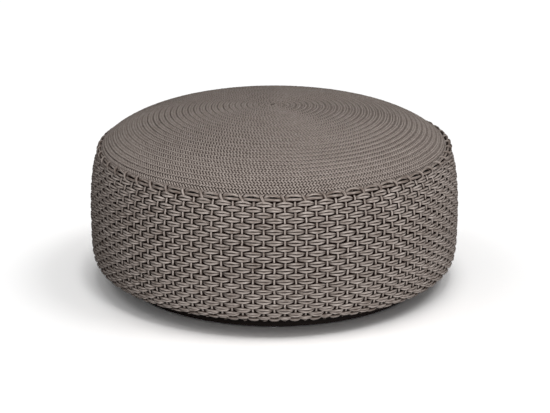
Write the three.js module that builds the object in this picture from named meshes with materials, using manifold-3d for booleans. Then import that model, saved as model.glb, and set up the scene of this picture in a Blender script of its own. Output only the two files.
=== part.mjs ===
// Round outdoor footstool: a domed seat of braided rope over foam, a side of woven rope and a dark plinth,
// all carried by a frame of aluminium hoops, ribs and spokes.
// Millimetres, +Z up. The origin lies on the floor at the middle of the footprint.
import * as THREE from 'three';
import { mergeVertices } from 'three/addons/utils/BufferGeometryUtils.js';
import Module from 'manifold-3d';

// Overall form
const overallDiameter = 800;
const overallHeight = 378;
const seamInset = 25.5;
const seamDrop = 83.5;
const bellyHeight = 130;
const hemInset = 39;
const hemHeight = 24;
const seamSlope = THREE.MathUtils.degToRad(46);
const hemSlope = THREE.MathUtils.degToRad(22);

// Pull of each end of the outline's curves, as a share of the stretch that the curve crosses
const crownPullShare = 0.53;
const seamUpperPullShare = 0.214;
const seamLowerPullShare = 0.19;
const bellyUpperPullShare = 0.36;
const bellyLowerPullShare = 0.88;
const hemPullShare = 0.36;

// Clearances
const seatGap = 0.3;
const padGap = 0.6;
const ropeGap = 0.5;
const holeGap = 0.4;
const overrun = 5;
const searchStep = 0.1;

// Braided top
const braidPitch = 16.2;
const braidThickness = 7;
const braidGap = 1;
const braidTail = 3;
const braidShoulderShare = 0.72;
const innerTurns = 8;
const middleTurns = 22;
const innerSteps = 12;
const middleSteps = 24;
const outerSteps = 48;

// Woven side
const floatPitch = 43.3;
const rowPitch = 11.5;
const floatRelief = 8;
const weaveThickness = 13;
const borderBand = 14;
const borderDip = 3.4;
const stitchLeanShare = 0.3;
const hemBand = 11;
const hemDip = 3.2;
const frameStationShares = [0.06, 0.16, 0.5, 0.74, 0.83, 0.91];

// Frame
const topTube = 16;
const topHoopSetback = 8;
const bellyTube = 12;
const baseTube = 14;
const baseHoopSetback = 4;
const ribCount = 12;
const ribDepth = 10;
const ribWidth = 12;
const spokeCount = 6;
const spokeWidth = 16;
const spokeLap = 3;
const hubDiameter = 70;
const roundSides = 36;
const tubeSides = 8;

// Deck and foam
const panThickness = 2;
const panLip = 4;
const panHoleDiameter = 22;
const panHoleRingPitch = 120;
const foamEdge = 1;
const foamSides = 24;
const foamRings = 8;

// Base
const panelThickness = 3;
const drainHoleDiameter = 24;
const drainRingRadius = 190;
const drainHoleCount = 6;
const plinthInset = 63;
const plinthWall = 3;
const topFlange = 34;
const bottomFlange = 22;
const fixingCount = 6;
const holeSides = 8;

// Bolts and glides
const boltDiameter = 6;
const boltHeadDiameter = 11;
const boltHeadHeight = 3.5;
const boltRunOut = 5;
const boltInset = 26;
const glideDiameter = 20;
const glideHeight = 2.5;
const glideTaper = 1;
const glideStemDiameter = 7.4;
const glideButtonDiameter = 10.4;
const glideButtonHeight = 1.6;
const glideInset = 12;
const fastenerSides = 8;

// The outline of the rope skin: a crown from the middle of the top to the seam, and a side from there
// through the belly to the hem. Its points are radius and height.
const overallRadius = overallDiameter / 2;
const apex = new THREE.Vector2(0, overallHeight);
const seam = new THREE.Vector2(overallRadius - seamInset, overallHeight - seamDrop);
const belly = new THREE.Vector2(overallRadius, bellyHeight);
const hem = new THREE.Vector2(overallRadius - hemInset, hemHeight);
const seamHeading = new THREE.Vector2(Math.cos(seamSlope), -Math.sin(seamSlope));
const hemHeading = new THREE.Vector2(-Math.cos(hemSlope), -Math.sin(hemSlope));
const across = new THREE.Vector2(1, 0);
const down = new THREE.Vector2(0, -1);

// The point a distance from another along a heading, backwards if the distance is negative.
function pulled(point, heading, distance) {
  return point.clone().addScaledVector(heading, distance);
}

function crownCurve() {
  return new THREE.CubicBezierCurve(
    apex,
    pulled(apex, across, crownPullShare * seam.x),
    pulled(seam, seamHeading, -seamUpperPullShare * seam.x),
    seam,
  );
}

function sideCurve() {
  const upperDrop = seam.y - belly.y;
  const lowerDrop = belly.y - hem.y;
  const side = new THREE.CurvePath();
  side.add(new THREE.CubicBezierCurve(
    seam,
    pulled(seam, seamHeading, seamLowerPullShare * upperDrop),
    pulled(belly, down, -bellyUpperPullShare * upperDrop),
    belly,
  ));
  side.add(new THREE.CubicBezierCurve(
    belly,
    pulled(belly, down, bellyLowerPullShare * lowerDrop),
    pulled(hem, hemHeading, -hemPullShare * lowerDrop),
    hem,
  ));
  return side;
}

const crown = crownCurve();
const side = sideCurve();
const crownLength = crown.getLength();
const sideLength = side.getLength();

// The point at a distance along an outline curve and a depth under it.
function under(curve, along, depth) {
  const share = THREE.MathUtils.clamp(along / curve.getLength(), 0, 1);
  const heading = curve.getTangentAt(share);
  const inward = new THREE.Vector2(heading.y, -heading.x);
  return curve.getPointAt(share).addScaledVector(inward, depth);
}

// A point of the outline's half plane, turned about the axis.
function turned(point, angle) {
  return new THREE.Vector3(point.x * Math.cos(angle), point.x * Math.sin(angle), point.y);
}

function ringOf(count, pointAt) {
  return Array.from({ length: count }, (_, column) => turned(pointAt(column), 2 * Math.PI * column / count));
}

// How far the middle of the line between two points lies from the axis.
function chordRadius(a, b) {
  return Math.hypot(a.x + b.x, a.y + b.y) / 2;
}

// The triangles between two neighbouring rings. Where four points face each other, they are folded along
// their deeper diagonal, so that raised points stand as ridges.
function stitch(points, upper, lower, faces) {
  let u = 0;
  let l = 0;
  while (u < upper.length || l < lower.length) {
    const a = upper[u % upper.length];
    const b = lower[l % lower.length];
    const nextUpper = upper[(u + 1) % upper.length];
    const nextLower = lower[(l + 1) % lower.length];
    const lead = (u + 1) / upper.length - (l + 1) / lower.length;
    const folds = chordRadius(points[b], points[nextUpper]) <= chordRadius(points[a], points[nextLower]);
    const takesUpper = lead < 0 || (lead === 0 && folds);
    if (takesUpper) u += 1;
    else l += 1;
    faces.push(a, b, takesUpper ? nextUpper : nextLower);
  }
}

// A closed body over rings of points. The last ring joins the first, or else both ends are capped.
function skin(rings, isLoop) {
  const points = rings.flat();
  const faces = [];
  let first = 0;
  const numbered = rings.map((ring) => ring.map(() => first++));
  for (let i = 0; i + 1 < numbered.length; i += 1) stitch(points, numbered[i], numbered[i + 1], faces);
  const last = numbered[numbered.length - 1];
  if (isLoop) stitch(points, last, numbered[0], faces);
  else {
    for (let k = 1; k + 1 < last.length; k += 1) {
      faces.push(numbered[0][0], numbered[0][k], numbered[0][k + 1]);
      faces.push(last[0], last[k + 1], last[k]);
    }
  }
  const geometry = new THREE.BufferGeometry().setFromPoints(points);
  geometry.setIndex(faces);
  return geometry;
}

// A turned body: its profile, given as radius and height, runs upwards on the outside.
function revolve(profile, sides) {
  const points = profile.map(([radius, height]) => new THREE.Vector2(radius, height));
  return new THREE.LatheGeometry(points, sides).rotateX(Math.PI / 2);
}

function polygon(radius, sides, centre = new THREE.Vector2()) {
  return Array.from({ length: sides }, (_, corner) => {
    const angle = 2 * Math.PI * corner / sides;
    return new THREE.Vector2(radius * Math.cos(angle), radius * Math.sin(angle)).add(centre);
  });
}

// A round plate on the XY plane, with round holes.
function plate(radius, thickness, holes) {
  const shape = new THREE.Shape(polygon(radius, roundSides));
  shape.holes = holes.map(({ centre, diameter }) => new THREE.Path(polygon(diameter / 2, holeSides, centre)));
  return new THREE.ExtrudeGeometry(shape, { depth: thickness, bevelEnabled: false });
}

function holeRing(count, ringRadius, diameter) {
  return polygon(ringRadius, count).map((centre) => ({ centre, diameter }));
}

function hoop(centre, tube) {
  return new THREE.TorusGeometry(centre.x, tube / 2, tubeSides, roundSides).translate(0, 0, centre.y);
}

const wasm = await Module();
wasm.setup();

function toSolid(geometry) {
  const bare = geometry.clone();
  bare.deleteAttribute('normal');
  bare.deleteAttribute('uv');
  const merged = mergeVertices(bare);
  return new wasm.Manifold(new wasm.Mesh({
    numProp: 3,
    vertProperties: merged.attributes.position.array,
    triVerts: new Uint32Array(merged.index.array),
  }));
}

function toGeometry(solid) {
  const { vertProperties, triVerts } = solid.getMesh();
  const geometry = new THREE.BufferGeometry();
  geometry.setAttribute('position', new THREE.BufferAttribute(vertProperties, 3));
  geometry.setIndex(new THREE.BufferAttribute(triVerts, 1));
  return geometry;
}

function cutFrom(geometry, cutters) {
  return toGeometry(cutters.reduce((solid, cutter) => solid.subtract(toSolid(cutter)), toSolid(geometry)));
}

// Places that several pieces share
const topHoopCentre = under(side, topHoopSetback, weaveThickness + seatGap + topTube / 2);
const baseHoopCentre = under(side, sideLength - baseHoopSetback, weaveThickness + seatGap + baseTube / 2);
const deckTop = topHoopCentre.y + topTube / 2;
const foamBase = deckTop + seatGap + panThickness + seatGap;
const panelBase = baseHoopCentre.y - panelThickness / 2;
const plinthRadius = overallRadius - plinthInset;
const plinthTop = panelBase - seatGap;
const plinthBottom = glideHeight + seatGap;
const boltRingRadius = plinthRadius - boltInset;
const glideRingRadius = plinthRadius - glideInset;
const floatCount = Math.round(2 * Math.PI * overallRadius / floatPitch);
const warpCount = 2 * floatCount;
const weaveTop = borderBand;
const weaveBottom = sideLength - hemBand;
const rowCount = Math.round((weaveBottom - weaveTop) / rowPitch);

// One cross-section of the braid, between two distances along the crown: its top is narrower than its foot.
function braidSection(from, to, angle) {
  const middle = (from + to) / 2;
  const shoulder = braidShoulderShare * (to - from) / 2;
  const corners = [
    [to, braidThickness],
    [middle + shoulder, 0],
    [middle - shoulder, 0],
    [from, braidThickness],
  ];
  return corners.map(([along, depth]) => turned(under(crown, along, depth), angle));
}

// The sections of the spiral, from the middle of the crown out to the seam, where the braid tapers off.
function braidSections() {
  const width = braidPitch - braidGap;
  const edge = crownLength - seatGap;
  const sections = [];
  let turns = 0;
  for (;;) {
    const from = seatGap + braidPitch * turns;
    const to = Math.min(from + width, edge);
    if (to - from < braidTail) return sections;
    sections.push(braidSection(from, to, 2 * Math.PI * turns));
    const isFine = turns >= innerTurns;
    turns += 1 / (turns >= middleTurns ? outerSteps : isFine ? middleSteps : innerSteps);
  }
}

// The least distance between points of the braid that lie over half a turn apart.
function leastGap(sections) {
  const points = sections.map((section) => ({ section, start: section[0] }));
  let least = Infinity;
  for (let i = 0; i < points.length; i += 1) {
    for (let j = i + innerSteps / 2; j < Math.min(i + 2 * outerSteps, points.length); j += 1) {
      const separated = points[i].section.map((a) => Math.min(...points[j].section.map((b) => a.distanceTo(b))));
      const turnsApart = points[i].start.angleTo(points[j].start);
      if (j - i > middleSteps || turnsApart > Math.PI / 2) least = Math.min(least, ...separated);
    }
  }
  return least;
}

function topCoil() {
  const sections = braidSections();
  console.log(`least gap between the turns of the top coil: ${leastGap(sections).toFixed(2)} mm`);
  return skin(sections, false);
}

// The distances along the side at which the frame's outline bends, between two ends.
function frameStations(from, to) {
  const between = frameStationShares.map((share) => share * sideLength);
  return [from, ...between.filter((along) => along > from + ropeGap && along < to - ropeGap), to];
}

// Rope woven over and under upright warps: each row floats over every second warp, shifted by one warp
// from row to row.
function sideWeave() {
  const rowStep = (weaveBottom - weaveTop) / rowCount;
  const rim = (along) => ringOf(warpCount, () => under(side, along, floatRelief));
  const row = (index) => ringOf(warpCount, (column) => {
    const isOver = (index + column) % 2 === 0;
    return under(side, weaveTop + rowStep * (index + 0.5), isOver ? 0 : floatRelief);
  });
  const rows = Array.from({ length: rowCount }, (_, index) => row(index));
  const back = frameStations(weaveTop, weaveBottom).reverse().map((along) => ringOf(floatCount, () => {
    const point = under(side, along, weaveThickness);
    return point.setX(point.x / Math.cos(Math.PI / floatCount));
  }));
  return skin([rim(weaveTop), ...rows, rim(weaveBottom), ...back], true);
}

// A bead of rope round the side, as thick as the weave: a diamond section whose crest rises and falls in a
// repeated pattern and leans by a share of one repeat.
function ropeBead(from, to, crestDepths, leanShare) {
  const count = floatCount * crestDepths.length;
  const middle = (from + to) / 2;
  const corners = [
    { along: from + ropeGap, depth: () => weaveThickness / 2, lean: -1 },
    { along: middle, depth: (column) => crestDepths[column % crestDepths.length], lean: 0 },
    { along: to - ropeGap, depth: () => weaveThickness / 2, lean: 1 },
    { along: middle, depth: () => weaveThickness, lean: 0 },
  ];
  const shift = leanShare * Math.PI / floatCount;
  const axis = new THREE.Vector3(0, 0, 1);
  return skin(corners.map(({ along, depth, lean }) => {
    const ring = ringOf(count, (column) => under(side, along, depth(column)));
    return ring.map((point) => point.applyAxisAngle(axis, lean * shift));
  }), true);
}

function seamBorder() {
  return ropeBead(0, borderBand, [0, borderDip, borderDip], stitchLeanShare);
}

function bottomHem() {
  return ropeBead(sideLength - hemBand, sideLength, [0, hemDip], 0);
}

// The distance along the side, searched from a start, at which a square end clears a hoop's tube.
function clearOf(hoopCentre, tube, start, step) {
  let along = start;
  for (;;) {
    const offset = hoopCentre.clone().sub(side.getPointAt(along / sideLength));
    if (Math.abs(offset.dot(side.getTangentAt(along / sideLength))) >= tube / 2 + seatGap) return along;
    along += step;
  }
}

// A strip of the frame's outline, bent like the side and cut square where it meets the hoops.
function rib() {
  const outerDepth = weaveThickness + seatGap;
  const stations = frameStations(
    clearOf(topHoopCentre, topTube, topHoopSetback, searchStep),
    clearOf(baseHoopCentre, baseTube, sideLength - baseHoopSetback, -searchStep),
  );
  const outer = stations.map((along) => under(side, along, outerDepth));
  const inner = stations.map((along) => under(side, along, outerDepth + ribDepth)).reverse();
  const strip = new THREE.ExtrudeGeometry(new THREE.Shape([...outer, ...inner]), {
    depth: ribWidth,
    bevelEnabled: false,
  });
  return strip.translate(0, 0, -ribWidth / 2).rotateX(Math.PI / 2);
}

function bellyHoop() {
  const bellyAlong = side.curves[0].getLength();
  const centre = under(side, bellyAlong, weaveThickness + seatGap + ribDepth + seatGap + bellyTube / 2);
  return hoop(centre, bellyTube);
}

// A bar from the hub to the top hoop, flush with the hoop and coped to it.
function spoke() {
  const from = hubDiameter / 2 + seatGap;
  const to = topHoopCentre.x - topTube / 2 + spokeLap;
  const bar = new THREE.BoxGeometry(to - from, spokeWidth, topTube);
  bar.translate((from + to) / 2, 0, topHoopCentre.y);
  return cutFrom(bar, [hoop(topHoopCentre, topTube + 2 * seatGap)]);
}

function hub() {
  return revolve([
    [0, deckTop - topTube],
    [hubDiameter / 2, deckTop - topTube],
    [hubDiameter / 2, deckTop],
    [0, deckTop],
  ], 2 * spokeCount);
}

// A pan of sheet metal with rings of holes, each ring holding six more than the one inside it.
function deckPan() {
  const rings = Math.floor((topHoopCentre.x - panHoleDiameter) / panHoleRingPitch);
  const holes = Array.from({ length: rings }, (_, ring) => (
    holeRing(spokeCount * (ring + 1), panHoleRingPitch * (ring + 1), panHoleDiameter)
  ));
  return plate(topHoopCentre.x + panLip, panThickness, holes.flat()).translate(0, 0, deckTop + seatGap);
}

function foamDome() {
  const depth = braidThickness + padGap;
  const steps = Array.from({ length: foamRings + 1 }, (_, step) => 1 - step / foamRings);
  const crownPoints = steps.map((share) => under(crown, share * crownLength, depth));
  const kept = crownPoints.filter((point) => point.y > foamBase + foamEdge);
  const profile = [[0, foamBase], [kept[0].x, foamBase]];
  for (const point of kept) profile.push([point.x, point.y]);
  profile[profile.length - 1][0] = 0;
  return revolve(profile, foamSides);
}

function basePanel() {
  const holes = [
    { centre: new THREE.Vector2(), diameter: drainHoleDiameter },
    ...holeRing(drainHoleCount, drainRingRadius, drainHoleDiameter),
    ...holeRing(fixingCount, boltRingRadius, boltDiameter + 2 * holeGap),
  ];
  const radius = baseHoopCentre.x - baseTube / 2 - seatGap;
  return plate(radius, panelThickness, holes).translate(0, 0, panelBase);
}

function holeCutter(diameter, ringRadius, angle, from, to) {
  return new THREE.CylinderGeometry(diameter / 2, diameter / 2, to - from, holeSides)
    .rotateX(Math.PI / 2)
    .translate(ringRadius, 0, (from + to) / 2)
    .rotateZ(angle);
}

// A rolled channel that opens inwards. Its top flange is bolted to the base panel, and its bottom flange
// carries the glides.
function plinthRing() {
  const topInner = plinthRadius - topFlange;
  const bottomInner = plinthRadius - bottomFlange;
  const webInner = plinthRadius - plinthWall;
  const channel = revolve([
    [bottomInner, plinthBottom],
    [plinthRadius, plinthBottom],
    [plinthRadius, plinthTop],
    [topInner, plinthTop],
    [topInner, plinthTop - plinthWall],
    [webInner, plinthTop - plinthWall],
    [webInner, plinthBottom + plinthWall],
    [bottomInner, plinthBottom + plinthWall],
    [bottomInner, plinthBottom],
  ], roundSides);
  const cutters = [];
  for (let i = 0; i < fixingCount; i += 1) {
    const boltHole = boltDiameter + 2 * holeGap;
    const glideHole = glideStemDiameter + 2 * holeGap;
    const flangeTop = plinthTop - plinthWall;
    const glideTop = plinthBottom + plinthWall + overrun;
    cutters.push(holeCutter(boltHole, boltRingRadius, fixingAngle(i), flangeTop - overrun, plinthTop + overrun));
    cutters.push(holeCutter(glideHole, glideRingRadius, glideAngle(i), plinthBottom - overrun, glideTop));
  }
  return cutFrom(channel, cutters);
}

function fixingAngle(index) {
  return 2 * Math.PI * index / fixingCount;
}

// The glides sit half way between the bolts.
function glideAngle(index) {
  return fixingAngle(index + 0.5);
}

function plinthBolt() {
  const headTop = plinthTop - plinthWall - seatGap;
  const tip = panelBase + panelThickness + boltRunOut;
  return revolve([
    [0, headTop - boltHeadHeight],
    [boltHeadDiameter / 2, headTop - boltHeadHeight],
    [boltHeadDiameter / 2, headTop],
    [boltDiameter / 2, headTop],
    [boltDiameter / 2, tip],
    [0, tip],
  ], fastenerSides).translate(boltRingRadius, 0, 0);
}

// A push-in glide: a pad on the floor, a stem through the flange and a button that holds it there.
function glide() {
  const stemTop = plinthBottom + plinthWall + seatGap;
  return revolve([
    [0, 0],
    [glideDiameter / 2 - glideTaper, 0],
    [glideDiameter / 2, glideHeight],
    [glideStemDiameter / 2, glideHeight],
    [glideStemDiameter / 2, stemTop],
    [glideButtonDiameter / 2, stemTop],
    [0, stemTop + glideButtonHeight],
  ], fastenerSides).translate(glideRingRadius, 0, 0);
}

const finishes = {
  braid: { color: 0x83786f, roughness: 0.9, metalness: 0 },
  rope: { color: 0x8a7f77, roughness: 0.88, metalness: 0 },
  foam: { color: 0xb9b5a8, roughness: 1, metalness: 0 },
  frame: { color: 0x3a3734, roughness: 0.55, metalness: 0.3 },
  plinth: { color: 0x1d1b1a, roughness: 0.5, metalness: 0.3 },
  steel: { color: 0x9a9a98, roughness: 0.35, metalness: 1 },
  plastic: { color: 0x161616, roughness: 0.6, metalness: 0 },
};

function piece(name, geometry, finish, angle = 0) {
  const mesh = new THREE.Mesh(geometry, new THREE.MeshStandardMaterial(finishes[finish]));
  mesh.name = name;
  mesh.rotation.z = angle;
  return mesh;
}

// Copies of one piece, evenly placed round the axis and numbered from one.
function circled(name, geometry, finish, count, angleAt = (index) => 2 * Math.PI * index / count) {
  return Array.from({ length: count }, (_, index) => (
    piece(`${name}_${String(index + 1).padStart(2, '0')}`, geometry, finish, angleAt(index))
  ));
}

const seat = new THREE.Group().add(
  piece('top_coil', topCoil(), 'braid'),
  piece('foam_dome', foamDome(), 'foam'),
  piece('deck_pan', deckPan(), 'frame'),
);

const wovenSide = new THREE.Group().add(
  piece('seam_border', seamBorder(), 'rope'),
  piece('side_weave', sideWeave(), 'rope'),
  piece('bottom_hem', bottomHem(), 'rope'),
);

const frame = new THREE.Group().add(
  piece('top_hoop', hoop(topHoopCentre, topTube), 'frame'),
  piece('belly_hoop', bellyHoop(), 'frame'),
  piece('base_hoop', hoop(baseHoopCentre, baseTube), 'frame'),
  piece('deck_hub', hub(), 'frame'),
  ...circled('deck_spoke', spoke(), 'frame', spokeCount),
  ...circled('rib', rib(), 'frame', ribCount),
);

const base = new THREE.Group().add(
  piece('base_panel', basePanel(), 'plinth'),
  piece('plinth_ring', plinthRing(), 'plinth'),
  ...circled('plinth_bolt', plinthBolt(), 'steel', fixingCount, fixingAngle),
  ...circled('glide', glide(), 'plastic', fixingCount, glideAngle),
);

const footstool = new THREE.Group().add(seat, wovenSide, frame, base);

export default footstool;
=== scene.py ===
# Round outdoor footstool: a braided rope dome, a side of woven rope and a dark recessed plinth.
# Metres, Z up, the camera stands in front on -Y.
import bpy
import numpy as np
from math import cos, pi, radians, sin
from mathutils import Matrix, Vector


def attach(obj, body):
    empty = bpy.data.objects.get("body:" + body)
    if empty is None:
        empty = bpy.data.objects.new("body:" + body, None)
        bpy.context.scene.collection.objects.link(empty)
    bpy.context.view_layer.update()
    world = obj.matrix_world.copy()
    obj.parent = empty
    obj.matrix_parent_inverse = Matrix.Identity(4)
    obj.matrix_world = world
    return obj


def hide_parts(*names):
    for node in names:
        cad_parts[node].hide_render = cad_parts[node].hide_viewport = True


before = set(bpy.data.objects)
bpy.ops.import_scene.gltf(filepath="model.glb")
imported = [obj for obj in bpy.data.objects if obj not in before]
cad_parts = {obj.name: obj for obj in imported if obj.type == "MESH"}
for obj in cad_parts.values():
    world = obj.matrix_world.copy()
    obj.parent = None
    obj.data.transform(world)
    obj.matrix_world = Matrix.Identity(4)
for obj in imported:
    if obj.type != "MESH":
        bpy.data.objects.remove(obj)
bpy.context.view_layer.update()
dice = np.random.default_rng(7)

# Outline of the rope skin, as radius and height: a crown down to the seam, then the side down to the hem.
outline = {
    "top": 0.378,
    "seam": (0.3745, 0.2945),
    "belly": (0.4, 0.130),
    "hem": (0.361, 0.024),
    "seamSlope": 46,              # degrees below level
    "hemSlope": 22,
    "crownPull": (0.53, 0.214),   # how far a curve follows the slopes at its two ends
    "upperPull": (0.19, 0.36),
    "lowerPull": (0.88, 0.36),
    "steps": 240,
}


def bezier(a, b, c, d):
    t = np.linspace(0, 1, outline["steps"])[:, None]
    a, b, c, d = (np.array(p, float) for p in (a, b, c, d))
    return a * (1 - t) ** 3 + 3 * b * t * (1 - t) ** 2 + 3 * c * t * t * (1 - t) + d * t ** 3


def skinOutline():
    seam, belly, hem = (np.array(outline[k]) for k in ("seam", "belly", "hem"))
    apex = np.array([0, outline["top"]])
    down = np.array([0, -1])
    atSeam = np.array([cos(radians(outline["seamSlope"])), -sin(radians(outline["seamSlope"]))])
    atHem = np.array([-cos(radians(outline["hemSlope"])), -sin(radians(outline["hemSlope"]))])
    upperDrop = seam[1] - belly[1]
    lowerDrop = belly[1] - hem[1]
    crown = bezier(apex, apex + (outline["crownPull"][0] * seam[0], 0),
                   seam - outline["crownPull"][1] * seam[0] * atSeam, seam)
    upper = bezier(seam, seam + outline["upperPull"][0] * upperDrop * atSeam,
                   belly - outline["upperPull"][1] * upperDrop * down, belly)
    lower = bezier(belly, belly + outline["lowerPull"][0] * lowerDrop * down,
                   hem - outline["lowerPull"][1] * lowerDrop * atHem, hem)
    points = np.vstack([crown, upper[1:], lower[1:]])
    along = np.r_[0, np.cumsum(np.hypot(*np.diff(points, axis=0).T))]
    heading = np.gradient(points, along, axis=0)
    heading /= np.hypot(*heading.T)[:, None]
    return along - along[len(crown) - 1], points, heading


outlineAlong, outlinePoints, outlineHeading = skinOutline()   # along is zero at the seam, less on the crown
crownLength = -outlineAlong[0]
sideLength = outlineAlong[-1]


# A place on the skin: along the outline from the seam, depth under the skin, angle round the middle.
def onSkin(along, depth, angle):
    along, depth, angle = np.broadcast_arrays(along, depth, angle)
    across = np.minimum(along + crownLength, 0)              # straight on across the middle of the crown
    r = np.interp(along, outlineAlong, outlinePoints[:, 0]) + across
    z = np.interp(along, outlineAlong, outlinePoints[:, 1])
    hr = np.interp(along, outlineAlong, outlineHeading[:, 0])
    hz = np.interp(along, outlineAlong, outlineHeading[:, 1])
    past = np.maximum(along - sideLength, 0)                 # straight on past the hem
    r = r + hz * depth + hr * past
    z = z - hr * depth + hz * past
    points = np.stack([r * np.cos(angle), r * np.sin(angle), z], -1)
    outward = np.stack([-hz * np.cos(angle), -hz * np.sin(angle), hr], -1)
    return points, outward


def smooth(x):
    x = np.clip(x, 0, 1)
    return x * x * (3 - 2 * x)


def unit(v):
    return v / np.maximum(np.linalg.norm(v, axis=-1, keepdims=True), 1e-12)


def between(pair, share):
    return pair[0] + (pair[1] - pair[0]) * share


# Small random slips, none of them far out.
def slips(size, count):
    return dice.normal(0, size, count).clip(-2 * size, 2 * size)


def uneven(angle, places, size):
    marks = np.arange(places + 1) / places * 2 * pi
    values = slips(size, places)
    return np.interp(angle, marks, np.r_[values, values[:1]])


# Faces between one ring of points and the next, along a rope or round a turned piece.
def ringFaces(count, sides, steps):
    i = np.arange(steps)[:, None]
    j = np.arange(sides)[None, :]
    nextRing = (i + 1) % count
    nextSide = (j + 1) % sides
    return np.stack([i * sides + j, nextRing * sides + j, nextRing * sides + nextSide,
                     i * sides + nextSide], -1).reshape(-1, 4)


# Ropes: each strand is a line of points and the side that faces out, swept with an oval section.
def sweepRope(strands, sides):
    places, faces, uvs, tints, paintedShades, lays = [], [], [], [], [], []
    start = 0
    turn = np.arange(sides) * 2 * pi / sides
    for strand in strands:
        line, outward = strand["line"], strand["outward"]
        closed = strand.get("closed", False)
        count = len(line)
        steps = count if closed else count - 1
        wide = np.broadcast_to(strand["wide"], count) / 2
        thick = np.broadcast_to(strand.get("thick", strand["wide"]), count) / 2
        if closed:
            heading = np.roll(line, -1, 0) - np.roll(line, 1, 0)
        else:
            heading = np.gradient(line, axis=0)
        heading = unit(heading)
        aside = unit(np.cross(heading, outward))
        outward = np.cross(aside, heading)
        rings = (line[:, None] + aside[:, None] * (np.cos(turn)[None, :, None] * wide[:, None, None])
                 + outward[:, None] * (np.sin(turn)[None, :, None] * thick[:, None, None]))
        places.append(rings.reshape(-1, 3))
        faces.append(ringFaces(count, sides, steps) + start)
        start += count * sides

        lengths = np.linalg.norm(np.diff(np.vstack([line, line[:1]]), axis=0), axis=1)
        far = np.r_[0, np.cumsum(lengths)]
        u0 = np.repeat(far[:steps, None], sides, 1)
        u1 = np.repeat(far[1:steps + 1, None], sides, 1)
        v0 = np.broadcast_to(np.arange(sides) / sides, u0.shape)
        v1 = v0 + 1 / sides
        corners = [np.stack(corner, -1) for corner in ((u0, v0), (u1, v0), (u1, v1), (u0, v1))]
        uvs.append(np.stack(corners, -2).reshape(-1, 4, 2))

        # Painted shade: the sides and the back of a rope lie in its shade and are painted darker, as are
        # the parts that lie deep.
        buried = 0.5 - np.sin(turn) / 2 - strand.get("under", 0.0) * np.cos(turn)
        flank = smooth(buried / ropeLook["flankEnd"])
        sunkShade = np.broadcast_to(strand.get("sunkShade", 0.0), count)[:, None]
        shade = np.broadcast_to(strand.get("shade", ropeLook["flankShade"]), count)[:, None]
        paintedShades.append((1 - (1 - sunkShade) * (1 - shade * flank[None, :])).ravel())
        tints.append(np.repeat(np.broadcast_to(strand["tint"], count), sides))
        lays.append(np.full(count * sides, dice.uniform(0, ropeLook["layShift"])))
    return np.vstack(places), np.vstack(faces), np.vstack(uvs), {
        "dye": np.hstack(tints), "paintedShade": np.hstack(paintedShades), "lay": np.hstack(lays)}


def makePiece(name, slot, material, places, faces, uvs=None, shades=None):
    mesh = bpy.data.meshes.new(name)
    corners = faces.shape[1]
    mesh.vertices.add(len(places))
    mesh.vertices.foreach_set("co", places.astype(np.float32).ravel())
    mesh.loops.add(faces.size)
    mesh.loops.foreach_set("vertex_index", faces.astype(np.int32).ravel())
    mesh.polygons.add(len(faces))
    mesh.polygons.foreach_set("loop_start", np.arange(0, faces.size, corners, dtype=np.int32))
    if uvs is not None:
        layer = mesh.uv_layers.new(name="ropeLay")
        layer.data.foreach_set("uv", uvs.astype(np.float32).ravel())
    mesh.update(calc_edges=True)
    mesh.validate()
    mesh.shade_smooth()
    for label, values in (shades or {}).items():
        shade = mesh.attributes.new(label, "FLOAT", "POINT")
        shade.data.foreach_set("value", values.astype(np.float32))
    piece = bpy.data.objects.new(name, mesh)
    bpy.context.scene.collection.objects.link(piece)
    mesh.materials.append(material)
    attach(piece, "root")
    return piece


def ropePiece(name, slot, material, strands, sides, *nodes):
    piece = makePiece(name, slot, material, *sweepRope(strands, sides))
    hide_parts(*nodes)
    return piece


def newMaterial(name):
    material = bpy.data.materials.new(name)
    material.use_nodes = True
    tree = material.node_tree
    return material, tree, tree.nodes["Principled BSDF"]


def node(tree, kind, inputs=None, **settings):
    made = tree.nodes.new(kind)
    for key, value in settings.items():
        setattr(made, key, value)
    for key, value in (inputs or {}).items():
        if isinstance(value, bpy.types.NodeSocket):
            tree.links.new(value, made.inputs[key])
        else:
            made.inputs[key].default_value = value
    return made


def maths(tree, operation, *values):
    return node(tree, "ShaderNodeMath", dict(enumerate(values)), operation=operation).outputs[0]


def noise(tree, place, scale, detail):
    made = node(tree, "ShaderNodeTexNoise", {"Vector": place, "Scale": scale, "Detail": detail})
    return made.outputs["Fac"]


def shadeBy(tree, label):
    return node(tree, "ShaderNodeAttribute", attribute_name=label).outputs["Fac"]


def dullness(tree, grain, pair):
    return node(tree, "ShaderNodeMapRange", {0: grain, 3: pair[0], 4: pair[1]}).outputs[0]


def rgb(r, g, b):
    channel = lambda c: c / 12.92 if c <= 0.04045 else ((c + 0.055) / 1.055) ** 2.4
    return (channel(r / 255), channel(g / 255), channel(b / 255), 1)


# Rope of many fine plaited strands, streaked along its length. Where it sinks between others it is painted
# dark, as painted shade.
ropeLook = {
    "pale": (209, 198, 191),
    "deep": (118, 105, 97),
    "layLength": 0.0085,      # one turn of the fine plait round a rope
    "layStrands": 8,
    "layShift": 40,           # each rope takes its streaks from its own place in the noise
    "streakLength": 90.0,     # streaks lie along the rope: how often they change along and round it
    "streakAround": 13.0,
    "cloudScale": 28.0,
    "fibreScale": 900.0,
    "streaks": 1.8,           # this and the next four: how much each of them changes the colour
    "clouds": 0.35,
    "dyes": 0.4,
    "plaits": 0.22,
    "fibres": 0.2,
    # painted shade: its colour and how far it goes, and how far round and how dark a rope's flanks are
    # painted
    "shadeColour": (48, 32, 24),
    "shadeShare": 0.95,
    "flankEnd": 0.74,
    "flankShade": 0.88,
    "bumpDepth": 0.0003,
    "bumpStrength": 0.8,
    "fibreRelief": 0.4,       # beside the plait, which is 1
    "streakRelief": 1.5,
    "specular": 0.0,
    "roughness": (0.62, 0.85),
}


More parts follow.
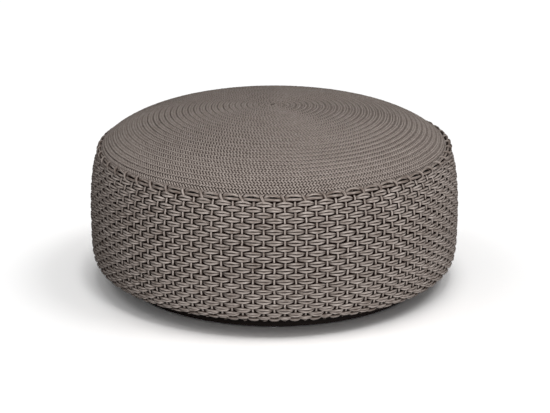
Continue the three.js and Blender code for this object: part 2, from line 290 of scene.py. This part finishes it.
def ropeMaterial(name, look):
    material, tree, shader = newMaterial(name)
    way = node(tree, "ShaderNodeUVMap", uv_map="ropeLay")
    split = node(tree, "ShaderNodeSeparateXYZ", {0: way.outputs[0]})
    length, girth = split.outputs[0], split.outputs[1]
    along = maths(tree, "MULTIPLY", length, look["layStrands"] / look["layLength"] / 4)
    around = maths(tree, "MULTIPLY", girth, look["layStrands"] / 2)
    lays = []
    for turn in ("ADD", "SUBTRACT"):
        slope = maths(tree, turn, along, around)
        lays.append(maths(tree, "SINE", maths(tree, "MULTIPLY", slope, 2 * pi)))
    plait = maths(tree, "MULTIPLY", *lays)
    lift = node(tree, "ShaderNodeMapRange", {0: plait, 1: -1.0, 2: 1.0, 3: 0.0, 4: 1.0}).outputs[0]
    place = node(tree, "ShaderNodeTexCoord").outputs["Object"]
    cloud = noise(tree, place, look["cloudScale"], 3.0)
    fibre = noise(tree, place, look["fibreScale"], 2.0)
    streakPlace = node(tree, "ShaderNodeCombineXYZ", {
        0: maths(tree, "MULTIPLY", length, look["streakLength"]),
        1: maths(tree, "MULTIPLY", girth, look["streakAround"]),
        2: shadeBy(tree, "lay")})
    streak = noise(tree, streakPlace.outputs[0], 1.0, 1.0)
    tone = maths(tree, "MULTIPLY", cloud, look["clouds"])
    parts = {"dyes": shadeBy(tree, "dye"), "plaits": lift, "fibres": fibre, "streaks": streak}
    for weight, part in parts.items():
        tone = maths(tree, "MULTIPLY_ADD", part, look[weight], tone)
    half = (look["dyes"] + look["plaits"] + look["fibres"]) / 2
    middle = (look["streaks"] + look["clouds"]) / 2 + half
    tone = node(tree, "ShaderNodeMapRange", {0: tone, 1: middle - half, 2: middle + half})
    ramp = node(tree, "ShaderNodeValToRGB", {0: tone.outputs[0]})
    ramp.color_ramp.elements[0].color = rgb(*look["deep"])
    ramp.color_ramp.elements[1].color = rgb(*look["pale"])
    # painted shade: the rope's colour goes towards the shade colour where the shade attribute says so
    shaded = maths(tree, "MULTIPLY", shadeBy(tree, "paintedShade"), look["shadeShare"])
    paint = node(tree, "ShaderNodeMix", {0: shaded, 6: ramp.outputs[0], 7: rgb(*look["shadeColour"])},
                 data_type="RGBA")
    relief = maths(tree, "MULTIPLY_ADD", fibre, look["fibreRelief"], lift)
    relief = maths(tree, "MULTIPLY_ADD", streak, look["streakRelief"], relief)
    bump = node(tree, "ShaderNodeBump", {"Height": relief, "Distance": look["bumpDepth"],
                                        "Strength": look["bumpStrength"]})
    tree.links.new(paint.outputs[2], shader.inputs["Base Color"])
    tree.links.new(dullness(tree, fibre, look["roughness"]), shader.inputs["Roughness"])
    tree.links.new(bump.outputs[0], shader.inputs["Normal"])
    shader.inputs["Specular IOR Level"].default_value = look["specular"]
    return material


# Coats of the other parts, with a fine grain and faint clouds.
coatLook = {
    "cloudScale": 14.0,
    "grainShare": 0.5,
    "rampStart": 0.45,
    "bumpDepth": 0.00006,
    "bumpStrength": 0.6,
    "metallic": 0.0,
    "specular": 0.5,
}
coatTones = {
    "frame": {"pale": (58, 55, 53), "deep": (44, 42, 41), "roughness": (0.45, 0.62), "grain": 1400.0},
    "plinth": {"pale": (26, 20, 18), "deep": (16, 12, 11), "roughness": (0.6, 0.8), "grain": 1400.0,
               "specular": 0.08},
    "steel": {"pale": (178, 176, 172), "deep": (142, 140, 138), "roughness": (0.25, 0.45), "grain": 500.0,
              "metallic": 1.0},
    "plastic": {"pale": (40, 40, 41), "deep": (26, 26, 27), "roughness": (0.4, 0.6), "grain": 900.0},
    # painted shade: near-black sheets behind the ropes, which darken the gaps between them
    "shadeSheet": {"pale": (34, 23, 17), "deep": (18, 11, 8), "roughness": (0.85, 0.95), "grain": 700.0,
              "specular": 0.03},
    "foam": {"pale": (150, 148, 142), "deep": (108, 106, 102), "roughness": (0.9, 1.0), "grain": 420.0},
}


def coatMaterial(name, look):
    material, tree, shader = newMaterial(name)
    place = node(tree, "ShaderNodeTexCoord").outputs["Object"]
    grain = noise(tree, place, look["grain"], 3.0)
    cloud = noise(tree, place, look["cloudScale"], 4.0)
    mixed = maths(tree, "MULTIPLY_ADD", grain, look["grainShare"], cloud)
    ramp = node(tree, "ShaderNodeValToRGB", {0: mixed})
    ramp.color_ramp.elements[0].position = look["rampStart"]
    ramp.color_ramp.elements[0].color = rgb(*look["deep"])
    ramp.color_ramp.elements[1].position = 1.0
    ramp.color_ramp.elements[1].color = rgb(*look["pale"])
    bump = node(tree, "ShaderNodeBump", {"Height": grain, "Distance": look["bumpDepth"],
                                        "Strength": look["bumpStrength"]})
    tree.links.new(ramp.outputs[0], shader.inputs["Base Color"])
    tree.links.new(dullness(tree, cloud, look["roughness"]), shader.inputs["Roughness"])
    tree.links.new(bump.outputs[0], shader.inputs["Normal"])
    shader.inputs["Metallic"].default_value = look["metallic"]
    shader.inputs["Specular IOR Level"].default_value = look["specular"]
    return material


braidRope = ropeMaterial("braidRope", ropeLook | {"pale": (208, 197, 190), "deep": (120, 107, 99),
                                                  "streaks": 0.5, "clouds": 0.09})
wovenRope = ropeMaterial("wovenRope", ropeLook)
coats = {name: coatMaterial(name, coatLook | tones) for name, tones in coatTones.items()}
print("materials made")

# The rows of the side don't lie level all the way round, nor does the seam.
tilt = {
    "rightHigher": 0.0046,    # the upper rows and the border lie higher on the camera's right
    "rightFull": 0.55,        # the cosine of the angle from which all of it is there
    "rightReach": 0.13,       # how far from the seam it ends
    "leftLower": 0.0036,      # the lower rows lie lower on its left
    "leftStart": 0.3,         # the cosine from which it grows, and how far it goes on growing
    "leftGrow": 0.5,
    "lowerStart": 0.08,       # how far below the seam all of it is there
    "lowerEnd": 0.27,         # where it ends, after fading over lowerEase
    "lowerEase": 0.04,
}


def offLevel(along, angle):
    right = np.cos(angle)
    high = tilt["rightHigher"] * smooth(right / tilt["rightFull"])
    high = high * smooth(1 - np.abs(along) / tilt["rightReach"])
    low = tilt["leftLower"] * smooth((-right - tilt["leftStart"]) / tilt["leftGrow"])
    low = low * smooth(along / tilt["lowerStart"]) * smooth((tilt["lowerEnd"] - along) / tilt["lowerEase"])
    return along - high + low


# Woven side: double weft ropes go over and under single warps, one float for every other warp.
weave = {
    "floats": 58,
    "rows": 24,
    "rowMarks": ((-1, 0.0095), (0, 0.0192), (5, 0.0748), (15, 0.1890), (21, 0.2514), (23, 0.2715),
                 (24, 0.281)),        # how far below the seam a row lies
    "radius": 0.39,                   # turns slips round the side into angles
    "weftWide": (0.0028, 0.0052),     # behind a warp, in the middle of a float
    "weftDepth": (0.0111, 0.0023),
    "weftSpread": (0.0011, 0.0033),   # half the distance of the two ropes
    "weftStack": 0.0006,              # behind a warp one rope lies deeper than the other
    "spreadEnd": 0.88,                # where the two ropes meet, as a share of half a float's period
    "spreadRound": 1.6,
    "floatFlat": 0.21,                # a float lies level up to here and is down at floatEnd
    "floatEnd": 1.0,
    "floatRise": 0.22,                # in front and behind a float lies higher than its ends by this share
    "riseNarrow": 4,                  # how soon this fades towards the sides
    "warpWide": 0.0041,
    "warpDepth": (0.0076, 0.0064),    # under a float, between two floats
    "warpEnds": (-0.9, 0.4),          # from nearly a row above the first to a little past the last
    "warpShade": 0.6,
    "warpSlip": 0.0004,
    "warpTint": (0.35, 0.65),
    "weftUnder": 0.16,                # the shade of a weft rope lies more on its lower side
    "weftSunk": (0.0053, 0.0106),     # depths where a weft begins to fall into shade, and lies in it wholly
    "warpSunk": (0.75, 0.25),         # the same for a warp, by how far it lies free of the floats
    "uneven": (0.0003, 0.0002, 0.0003, 0.12),    # a row, each of its ropes, their depth and their colour
    "steps": 18,
    "warpSteps": 6,
    "warpGroups": 4,
    "sides": 8,
}
warps = 2 * weave["floats"]


def rowAlong(row):
    return np.interp(row, *zip(*weave["rowMarks"]))


def sunkBy(depth, start, end):
    return smooth((depth - start) / (end - start))


def weftRow(row):
    rowSlip, ropeSlip, depthSlip, tintSlip = weave["uneven"]
    count = weave["floats"] * weave["steps"]
    angle = np.arange(count) * 2 * pi / count
    wave = np.cos(weave["floats"] * angle) * (1 if row % 2 == 0 else -1)
    away = np.arccos(wave.clip(-1, 1)) / pi      # zero in the middle of a float, one behind a warp
    over = 1 - smooth((away - weave["floatFlat"]) / (weave["floatEnd"] - weave["floatFlat"]))
    spreading = np.maximum(1 - (away / weave["spreadEnd"]) ** weave["spreadRound"], 0)
    height = weave["weftDepth"][0] - weave["weftDepth"][1]
    rise = weave["floatRise"] * height * (over - 0.5) * np.sin(angle) ** weave["riseNarrow"]
    shift = uneven(angle, weave["floats"], rowSlip) - rise
    strands = []
    for side in (-1, 1):
        spread = between(weave["weftSpread"], spreading)
        depth = between(weave["weftDepth"], over) + side * weave["weftStack"] * (1 - spreading)
        lie = shift + uneven(angle, warps, ropeSlip)
        points, outward = onSkin(offLevel(rowAlong(row), angle) + side * spread + lie,
                                 depth + uneven(angle, warps, depthSlip), angle)
        strands.append({"line": points, "outward": outward, "closed": True,
                        "wide": between(weave["weftWide"], spreading),
                        "tint": 0.5 + uneven(angle, warps, tintSlip),
                        "sunkShade": sunkBy(depth, *weave["weftSunk"]), "under": weave["weftUnder"]})
    return strands


for row in range(weave["rows"]):
    ropePiece(f"weftRow{row + 1:02d}", "rope", wovenRope, weftRow(row), weave["sides"], "side_weave")
print("weft rows woven")


def warpLine(column):
    above, below = weave["warpEnds"]
    row = np.linspace(above, weave["rows"] + below, weave["rows"] * weave["warpSteps"] + 1)
    front = (1 + np.cos(pi * (row + column + 1))) / 2        # one between two floats, zero under a float
    marks = np.arange(2 * weave["rows"] + 4) / 2 - 1
    slip = np.interp(row, marks, slips(weave["warpSlip"], len(marks))) / weave["radius"]
    depth = between(weave["warpDepth"], front)
    middle = column * pi / weave["floats"]
    points, outward = onSkin(offLevel(rowAlong(row), middle), depth, middle + slip)
    return {"line": points, "outward": outward, "wide": weave["warpWide"],
            "tint": dice.uniform(*weave["warpTint"]),
            "sunkShade": sunkBy(front, *weave["warpSunk"]), "shade": weave["warpShade"]}


for group in range(weave["warpGroups"]):
    first, last = (k * warps // weave["warpGroups"] for k in (group, group + 1))
    lines = [warpLine(column) for column in range(first, last)]
    ropePiece(f"warps{group + 1}", "rope", wovenRope, lines, weave["sides"], "side_weave")
print("warps strung")

# Braided top: a flat plait of three ropes, coiled from the middle and sewn turn to turn.
braid = {
    "pitch": 0.0127,
    "ropeWide": 0.0037,
    "ropeThick": 0.0046,
    "swing": 0.0047,          # how far a rope swings to each side of the plait
    "lift": 0.0025,
    "edgeRise": 0.0014,       # the very edges of the plait lie higher than the rest
    "edgeNarrow": 4,
    "lag": 0.15,              # how far the rise and fall of a rope trails its swing, as an angle
    "depth": 0.0045,
    "plaitLength": 0.0205,    # one rope's way back to the same place
    "tuck": 0.0055,           # the last turn dips under the border
    "evenTurns": 9,           # towards the seam the turns become rings with a short step at the back
    "stepStart": 0.72,
    "shift": 0.0022,
    "startTurn": 0.1,         # the plait starts so many turns across the middle, narrow and tucked in
    "startLength": 0.02,
    "startSwing": 0.4,
    "startTuck": 0.5,
    # painted shade: the next two lines darken a rope where it lies under the other two, and on its flanks
    "sunkShade": (0.75, 2.0),
    "shade": (1.0, 0.75),     # how dark the flanks are, in the middle and at the edges of the plait
    "shadeNarrow": 3,
    "uneven": (0.0002, 0.0002, 0.1),    # sideways, in depth and in colour, from stitch to stitch
    "fineSteps": 60000,
    "steps": 15,
    "sides": 6,
    "pieces": 6,
}


def braidCoil():
    pitch = braid["pitch"]
    rings = int(crownLength / pitch - 0.5)
    offset = crownLength / pitch - 0.5 - rings
    turns = np.linspace(-braid["startTurn"] - offset, rings + 1, braid["fineSteps"])
    part = turns % 1
    even = smooth((turns - rings + braid["evenTurns"]) / braid["evenTurns"])
    step = smooth((part - braid["stepStart"]) / (1 - braid["stepStart"]))
    reach = pitch * (turns - part + offset + part * (1 - even) + step * even)
    reach[-1] = pitch * (rings + 1 + offset)
    reach += braid["shift"]
    r = np.interp(reach - crownLength, outlineAlong, outlinePoints[:, 0])
    far = np.r_[0, np.cumsum(np.hypot(np.diff(reach), r[1:] * np.diff(turns) * 2 * pi))]
    here = np.linspace(0, far[-1], int(far[-1] / braid["plaitLength"] * braid["steps"]))
    angle = pi / 2 + 2 * pi * (1 + braid["stepStart"]) / 2 - 2 * pi * np.interp(here, far, turns)
    reach = np.interp(here, far, reach)
    ease = smooth(here / braid["startLength"])
    marks = np.arange(0, far[-1] + braid["plaitLength"], braid["plaitLength"] / 2)
    strands = []
    for rope in range(3):
        phase = 2 * pi * (here / braid["plaitLength"] + rope / 3)
        up = np.sin(2 * phase - braid["lag"])
        side = braid["swing"] * np.sin(phase) * (braid["startSwing"] + (1 - braid["startSwing"]) * ease)
        tucked = smooth((reach + side - crownLength + pitch / 2) / pitch) + braid["startTuck"] * (1 - ease)
        slip, rise, tint = (np.interp(here, marks, slips(size, len(marks))) for size in braid["uneven"])
        side = side + slip
        depth = (braid["depth"] - braid["lift"] * up
                 - braid["edgeRise"] * np.sin(phase) ** braid["edgeNarrow"]
                 + braid["tuck"] * tucked + rise)
        points, outward = onSkin(offLevel(reach - crownLength, angle) + side, depth, angle)
        # painted shade where a rope lies under the others, and on its flanks
        strands.append({"line": points, "outward": outward, "tint": 0.5 + tint,
                        "sunkShade": smooth(braid["sunkShade"][0] - braid["sunkShade"][1] * up),
                        "shade": between(braid["shade"], np.abs(np.sin(phase)) ** braid["shadeNarrow"])})
    return strands


coil = braidCoil()
whole = len(coil[0]["line"])
braidPieces = []
for part in range(braid["pieces"]):
    cut = slice(part * whole // braid["pieces"], (part + 1) * whole // braid["pieces"] + 1)
    strands = [{key: values[cut] for key, values in strand.items()}
               | {"wide": braid["ropeWide"], "thick": braid["ropeThick"]} for strand in coil]
    piece = ropePiece(f"topBraid{part + 1}", "braid", braidRope, strands, braid["sides"], "top_coil")
    braidPieces.append(piece)
print("top braided")

# Border: a loose pair of ropes round the seam, lashed by slanting stitches. The marks give how far below
# the seam and how deep a rope lies, by the share of the way from one stitch to the next.
border = {
    "upper": ((0, 0.0050), (0.1, 0.0036), (0.3, 0.0024), (0.5, 0.0024), (0.75, 0.0036), (1, 0.0056)),
    "lower": ((0, 0.0082), (0.1, 0.0092), (0.35, 0.0102), (0.6, 0.0103), (0.85, 0.0098), (1, 0.0086)),
    "depth": ((0, 0.0058), (0.08, 0.0020), (0.3, -0.0004), (0.55, -0.0002), (0.74, 0.0022), (0.84, 0.0056),
              (1, 0.0070)),
    "courseSteps": 200,
    "courseRound": 14,
    "ropeWide": {"upper": 0.0052, "lower": 0.0056},
    "slack": (0.7, 1.4),      # how high the upper rope stands between two stitches
    "proud": 0.0014,          # the border stands prouder on the right of the camera
    "tint": 0.05,
    "unevenTint": 0.12,
    # painted shade on the border ropes, from where they lie this deep to where they lie deeper
    "sunkShade": (0.0016, 0.0056),
    "radius": 0.38,
    "stitchWide": 0.0056,
    "stitchLean": 0.0094,
    "stitchPivot": 0.75,
    "stitchAside": -0.0018,
    "stitchAlong": (-0.0032, 0.0152),
    "stitchDepth": (0.0085, -0.0004),
    "stitchRound": 0.5,
    "stitchUneven": (0.8, 1.2),
    "stitchTint": (0, 0.3),
    "stitchSteps": 17,
    "steps": 16,
    "sides": 8,
}


# Rounded course through marks that lie on the way from one stitch to the next.
def courseBy(marks, share):
    soft = border["courseRound"]
    ring = np.linspace(0, 1, border["courseSteps"], endpoint=False)
    values = np.interp(ring, *zip(*marks))
    kernel = np.full(2 * soft + 1, 1 / (2 * soft + 1))
    softer = np.convolve(np.r_[values[-soft:], values, values[:soft]], kernel, "valid")
    return np.interp(share, np.r_[ring, 1], np.r_[softer, softer[:1]])


def borderStrands():
    loops, steps = weave["floats"], border["steps"]
    angle = (np.arange(loops * steps) + 0.5) * 2 * pi / (loops * steps)
    share = (loops * angle / (2 * pi)) % 1
    slack = np.repeat(dice.uniform(*border["slack"], loops), steps)
    depth = courseBy(border["depth"], share)
    proud = border["proud"] * (1 + np.cos(angle))
    strands = []
    for course in ("upper", "lower"):
        along = courseBy(border[course], share)
        if course == "upper":
            along = along.max() - (along.max() - along) * slack
        points, outward = onSkin(offLevel(along, angle), depth - proud, angle)
        strands.append({"line": points, "outward": outward, "closed": True,
                        "wide": border["ropeWide"][course],
                        "tint": border["tint"] + uneven(angle, warps, border["unevenTint"]),
                        "sunkShade": sunkBy(depth, *border["sunkShade"])})
    return strands


def stitchStrands():
    strands = []
    t = np.linspace(0, 1, border["stitchSteps"])
    along = between(border["stitchAlong"], t)
    for loop in range(weave["floats"]):
        middle = 2 * loop * pi / weave["floats"] + border["stitchAside"] / border["radius"]
        lean = border["stitchLean"] / border["radius"] * (t - border["stitchPivot"])
        lean = lean * dice.uniform(*border["stitchUneven"])
        depth = between(border["stitchDepth"], np.sin(pi * t) ** border["stitchRound"])
        depth = depth - border["proud"] * (1 + cos(middle)) * np.sin(pi * t)
        points, outward = onSkin(offLevel(along, middle), depth, middle + lean)
        strands.append({"line": points, "outward": outward, "wide": border["stitchWide"],
                        "tint": border["tint"] + dice.uniform(*border["stitchTint"])})
    return strands


ropePiece("borderRopes", "rope", wovenRope, borderStrands(), border["sides"], "seam_border")
ropePiece("borderStitches", "rope", wovenRope, stitchStrands(), border["sides"], "seam_border")
print("border lashed")

# Hem: each warp ends in a small curl, which turns under the base hoop.
hem = {
    "band": 0.0125,
    "ropeWide": 0.0046,
    "reach": 0.0112,
    "reachUneven": (0.85, 1.1),
    "swing": 0.0050,
    "swingUneven": (0.7, 1.2),
    "depth": 0.0014,
    "deeper": 0.0078,         # from the start of a curl to its end
    "tint": (0.2, 0.8),
    # painted shade towards both ends of a curl, where it goes under
    "sunkShade": 0.35,
    "radius": 0.36,
    "steps": 15,
    "sides": 8,
}


def hemStrands():
    strands = []
    t = np.linspace(0, 1, hem["steps"])
    depth = hem["depth"] + hem["deeper"] * t
    for loop in range(warps):
        middle = loop * pi / weave["floats"]
        swing = hem["swing"] * np.sin(2 * pi * t) * dice.uniform(*hem["swingUneven"]) / hem["radius"]
        reach = hem["reach"] * np.sin(pi * t) * dice.uniform(*hem["reachUneven"])
        points, outward = onSkin(sideLength - hem["band"] + reach, depth, middle + swing)
        strands.append({"line": points, "outward": outward, "wide": hem["ropeWide"],
                        "tint": dice.uniform(*hem["tint"]), "sunkShade": hem["sunkShade"] * (1 - np.sin(pi * t))})
    return strands


ropePiece("hemCurls", "rope", wovenRope, hemStrands(), hem["sides"], "bottom_hem")
print("hem curled")


# Pieces turned about the upright axis: the foam pad, near-black sheets behind the ropes that give painted
# shade in their gaps, and the plinth.
def turnedPiece(name, slot, material, points, nodes, sides=160, crease=40):
    points = np.array(points)
    count = len(points)
    angle = np.arange(sides) * 2 * pi / sides
    places = np.stack([points[:, None, 0] * np.cos(angle), points[:, None, 0] * np.sin(angle),
                       np.broadcast_to(points[:, None, 1], (count, sides))], -1).reshape(-1, 3)
    faces = np.roll(ringFaces(count, sides, count)[:, ::-1], 1, axis=1)
    piece = makePiece(name, slot, material, places, faces)
    piece.data.set_sharp_from_angle(angle=radians(crease))
    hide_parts(*nodes)
    return piece


pad = {
    "depth": 0.0098,
    "floor": 0.2877,
    "middle": 0.004,
    "rim": -0.006,
    "floorMark": 0.05,
    "steps": 40,
    "sides": 96,
}


def padOutline():
    reach = np.linspace(pad["middle"] - crownLength, pad["rim"], pad["steps"])
    points = onSkin(reach, pad["depth"], 0.0)[0][:, [0, 2]]
    bottom = [(r, pad["floor"]) for r in (points[-1, 0], pad["floorMark"], pad["middle"])]
    return np.vstack([points, bottom])


foamPad = turnedPiece("foamPad", "foam", coats["foam"], padOutline(), ["foam_dome"], pad["sides"])

# dark sheets behind the side and the crown ropes, put there as painted shade for the gaps
shadeSheet = {
    "weave": {"depth": (0.0126, 0.0129), "from": 0.004, "to": 0.2856},    # along the outline from the seam
    "crown": {"depth": (0.0093, 0.0096), "from": -0.3881, "to": -0.002},
    "steps": 60,
}


def shadeSheetOutline(sheet):
    reach = np.linspace(sheet["from"], sheet["to"], shadeSheet["steps"])
    front, back = (onSkin(reach, depth, 0.0)[0][:, [0, 2]] for depth in sheet["depth"])
    return np.vstack([front, back[::-1]])


turnedPiece("weaveShadeSheet", "rope", coats["shadeSheet"], shadeSheetOutline(shadeSheet["weave"]), ["side_weave"], warps)
turnedPiece("crownShadeSheet", "braid", coats["shadeSheet"], shadeSheetOutline(shadeSheet["crown"]), ["top_coil"], warps)

plinth = {
    "outer": 0.337,
    "wall": 0.003,
    "top": 0.0425,
    "bottom": 0.0028,
    "topFlange": 0.034,
    "bottomFlange": 0.022,
    "bevel": 0.001,
}


def plinthOutline():
    outer, wall, bevel = plinth["outer"], plinth["wall"], plinth["bevel"]
    top, bottom = plinth["top"], plinth["bottom"]
    topIn, bottomIn = outer - plinth["topFlange"], outer - plinth["bottomFlange"]
    return [(outer, bottom + bevel), (outer, top - bevel), (outer - bevel, top), (topIn, top),
            (topIn, top - wall), (outer - wall, top - wall), (outer - wall, bottom + wall),
            (bottomIn, bottom + wall), (bottomIn, bottom), (outer - bevel, bottom)]


turnedPiece("plinthShell", "plinth", coats["plinth"], plinthOutline(), ["plinth_ring"])
print("pad, linings and plinth turned")

for name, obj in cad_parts.items():
    kind = {"glide": "plastic", "plinth_bolt": "steel"}.get(name.rstrip("_0123456789"), "frame")
    obj.data.materials.clear()
    obj.data.materials.append(coats[kind])
print("frame coated")

# Floor, light and camera. The floor and the sky look white and light the object only weakly.
light = {
    "sky": 0.09,
    "floorReach": 30,
    "floorSeen": 5.2,         # white in the picture under these weak lamps
    "floorLit": 0.3,          # the floor's colour in the light that it gives back to the object
    "floorRough": 0.9,
    "aimHeight": 0.2,
}


def seenDirectly(tree):
    rays = node(tree, "ShaderNodeLightPath").outputs
    seen = maths(tree, "MAXIMUM", rays["Is Camera Ray"], rays["Is Glossy Ray"])
    return maths(tree, "MAXIMUM", seen, rays["Is Transmission Ray"])


edge = light["floorReach"]
floorMesh = bpy.data.meshes.new("floor")
floorMesh.from_pydata([(-edge, -edge, 0), (edge, -edge, 0), (edge, edge, 0), (-edge, edge, 0)], [],
                      [(0, 1, 2, 3)])
floor = bpy.data.objects.new("floor", floorMesh)
bpy.context.scene.collection.objects.link(floor)
floorPaint, tree, shader = newMaterial("floorPaint")
paint = node(tree, "ShaderNodeMix", {0: seenDirectly(tree), 6: (light["floorLit"],) * 3 + (1,),
                                    7: (light["floorSeen"],) * 3 + (1,)}, data_type="RGBA")
tree.links.new(paint.outputs[2], shader.inputs["Base Color"])
shader.inputs["Roughness"].default_value = light["floorRough"]
shader.inputs["Specular IOR Level"].default_value = 0.0
floorMesh.materials.append(floorPaint)

world = bpy.data.worlds.new("studio")
bpy.context.scene.world = world
world.use_nodes = True
tree = world.node_tree
sky = tree.nodes["Background"]
strength = node(tree, "ShaderNodeMapRange", {0: seenDirectly(tree), 3: light["sky"], 4: 1.0})
tree.links.new(strength.outputs[0], sky.inputs["Strength"])
sky.inputs["Color"].default_value = (1, 1, 1, 1)


# A heading turns from the camera to the right and rises over the floor.
def placeLamp(name, kind, heading, distance, size, level, lights=None):
    lamp = bpy.data.lights.new(name, kind)
    turn, rise = (radians(a) for a in heading)
    toward = Vector((sin(turn) * cos(rise), -cos(turn) * cos(rise), sin(rise)))
    if kind == "SUN":
        lamp.angle = radians(size)
        lamp.energy = level * pi
    else:
        lamp.shape = "DISK"
        lamp.size = size
        lamp.energy = level * pi * pi * distance ** 2
    box = bpy.data.objects.new(name, lamp)
    box.location = Vector((0, 0, light["aimHeight"])) + toward * distance
    box.rotation_euler = toward.to_track_quat("Z", "Y").to_euler()
    bpy.context.scene.collection.objects.link(box)
    if lights:
        box.light_linking.receiver_collection = lights


def allBut(name, pieces):
    others = bpy.data.collections.new(name)
    for piece in pieces:
        others.objects.link(piece)
    for member in others.collection_objects:
        member.light_linking.link_state = "EXCLUDE"
    return others


onlyObject = allBut("onlyObject", [floor])
belowSeam = allBut("belowSeam", [floor] + braidPieces)

# Kind, heading, distance, size in degrees or metres, level, and what the lamp lights.
lamps = {
    "topSun": ("SUN", (180, 86), 3, 20, 0.042),
    "sharpSun": ("SUN", (45, 77), 3, 8, 0.026),
    "rightSun": ("SUN", (90, 60), 3, 20, 0.042),
    "leftSun": ("SUN", (-90, 60), 3, 20, 0.014),
    "frontBox": ("AREA", (0, 24), 3.4, 1.2, 0.58, onlyObject),
    "rightBox": ("AREA", (31, 7), 3.4, 1.2, 0.32, onlyObject),
    "backBox": ("AREA", (180, 8), 3.4, 1.2, 0.4, belowSeam),
}
for name, lamp in lamps.items():
    placeLamp(name, *lamp)

view = {
    "elevation": 18.38,
    "distance": 3.6,
    "aimHeight": 0.152,
    "focalPixels": 1643.9,
    "imageWidth": 550,
    "imageMiddle": (275, 206.5),
    "aimAt": (274.3, 204.15),     # the pixel on which the aim falls
    "sensor": 36,
    "seesTo": 200,
}
lens = bpy.data.cameras.new("camera")
lens.sensor_width = view["sensor"]
lens.lens = view["focalPixels"] / view["imageWidth"] * view["sensor"]
lens.shift_x = (view["imageMiddle"][0] - view["aimAt"][0]) / view["imageWidth"]
lens.shift_y = (view["aimAt"][1] - view["imageMiddle"][1]) / view["imageWidth"]
lens.clip_end = view["seesTo"]
camera = bpy.data.objects.new("camera", lens)
rise = radians(view["elevation"])
camera.location = (0, -view["distance"] * cos(rise), view["aimHeight"] + view["distance"] * sin(rise))
camera.rotation_euler = (pi / 2 - rise, 0, 0)
bpy.context.scene.collection.objects.link(camera)
bpy.context.scene.camera = camera
bpy.context.scene.view_settings.view_transform = "Standard"
print("studio lit")
